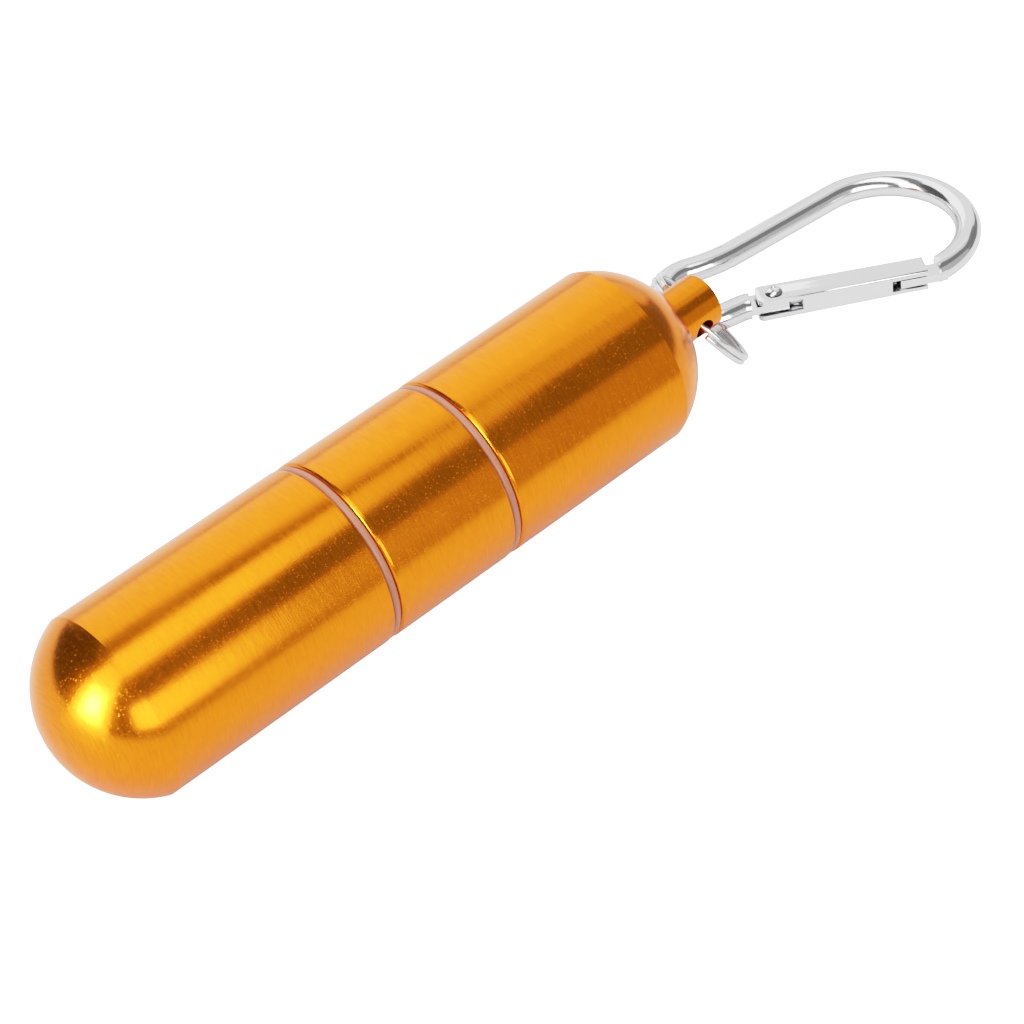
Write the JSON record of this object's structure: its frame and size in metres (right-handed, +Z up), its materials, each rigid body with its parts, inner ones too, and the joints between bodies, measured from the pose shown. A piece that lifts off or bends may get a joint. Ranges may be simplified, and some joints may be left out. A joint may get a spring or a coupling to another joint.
{
  "type": "waterproof screw capsule with clip",
  "caption": "Anodised aluminium waterproof capsule in three screw sections with ring seals, a drilled post, a split ring and a spring clip.",
  "frame": {"origin": "middle of the underside of the whole object's box, on the surface it lies on", "axes": "+X along the capsule from its nose to its drilled post and on to the clip, +Z up"},
  "size_m": [0.1582, 0.0306, 0.026],
  "materials": {
    "anodised": "turned, amber-gold anodised",
    "silicone": "translucent, satin",
    "nickel": "bright plated",
    "spring_steel": "drawn wire"
  },
  "bodies": {
    "front_shell": {"front_shell": "anodised"},
    "front_seal": {"front_seal": "silicone"},
    "middle_section": {"middle_section": "anodised"},
    "rear_seal": {"rear_seal": "silicone"},
    "rear_cap": {"rear_cap": "anodised"},
    "split_ring": {"split_ring": "nickel"},
    "clip_body": {"clip_body": "nickel", "gate_rivet": "nickel"},
    "clip_gate": {"clip_gate": "nickel", "gate_spring": "spring_steel"},
    "gate_plunger": {"gate_plunger": "spring_steel"}
  },
  "joints": [
    {"name": "front_thread_travel", "type": "slide", "parent": "front_shell", "child": "front_seal", "axis": [1, 0, 0], "range_m": [0, 0.0091]},
    {"name": "front_thread_turn", "type": "hinge", "parent": "front_seal", "child": "middle_section", "pos_m": [-0.0354, 0.00082, 0.013], "axis": [1, 0, 0], "range_deg": [0, 2160]},
    {"name": "rear_thread_travel", "type": "slide", "parent": "middle_section", "child": "rear_seal", "axis": [1, 0, 0], "range_m": [0, 0.0091]},
    {"name": "rear_thread_turn", "type": "hinge", "parent": "rear_seal", "child": "rear_cap", "pos_m": [-0.0151, 0.00082, 0.013], "axis": [1, 0, 0], "range_deg": [0, 2160]},
    {"name": "ring_swing", "type": "hinge", "parent": "rear_cap", "child": "split_ring", "pos_m": [0.02764, 0.00082, 0.013], "axis": [0, 0.9945, 0.1045], "range_deg": [-84, 38]},
    {"name": "clip_swing", "type": "hinge", "parent": "split_ring", "child": "clip_body", "pos_m": [0.03707, 0.00344, 0.00117], "axis": [0, 0.9763, 0.2164], "range_deg": [-80, 0]},
    {"name": "gate_open", "type": "hinge", "parent": "clip_body", "child": "clip_gate", "pos_m": [0.04373, -0.00099, 0.00485], "axis": [0.0351, 0.1944, 0.9803], "range_deg": [0, 25], "stiffness_Nm_per_rad": 0.08, "springref_deg": -20.05},
    {"name": "plunger_press", "type": "slide", "parent": "clip_gate", "child": "gate_plunger", "axis": [0.8494, -0.5226, 0.0732], "range_m": [0, 0.0005], "deforming": ["gate_spring"]}
  ],
  "couplings": [
    {"joint": "front_thread_travel", "follows": "front_thread_turn", "m_per_rad": 0.00023873},
    {"joint": "rear_thread_travel", "follows": "rear_thread_turn", "m_per_rad": 0.00023873},
    {"joint": "plunger_press", "follows": "gate_open", "m_per_rad": 0.0010657}
  ]
}
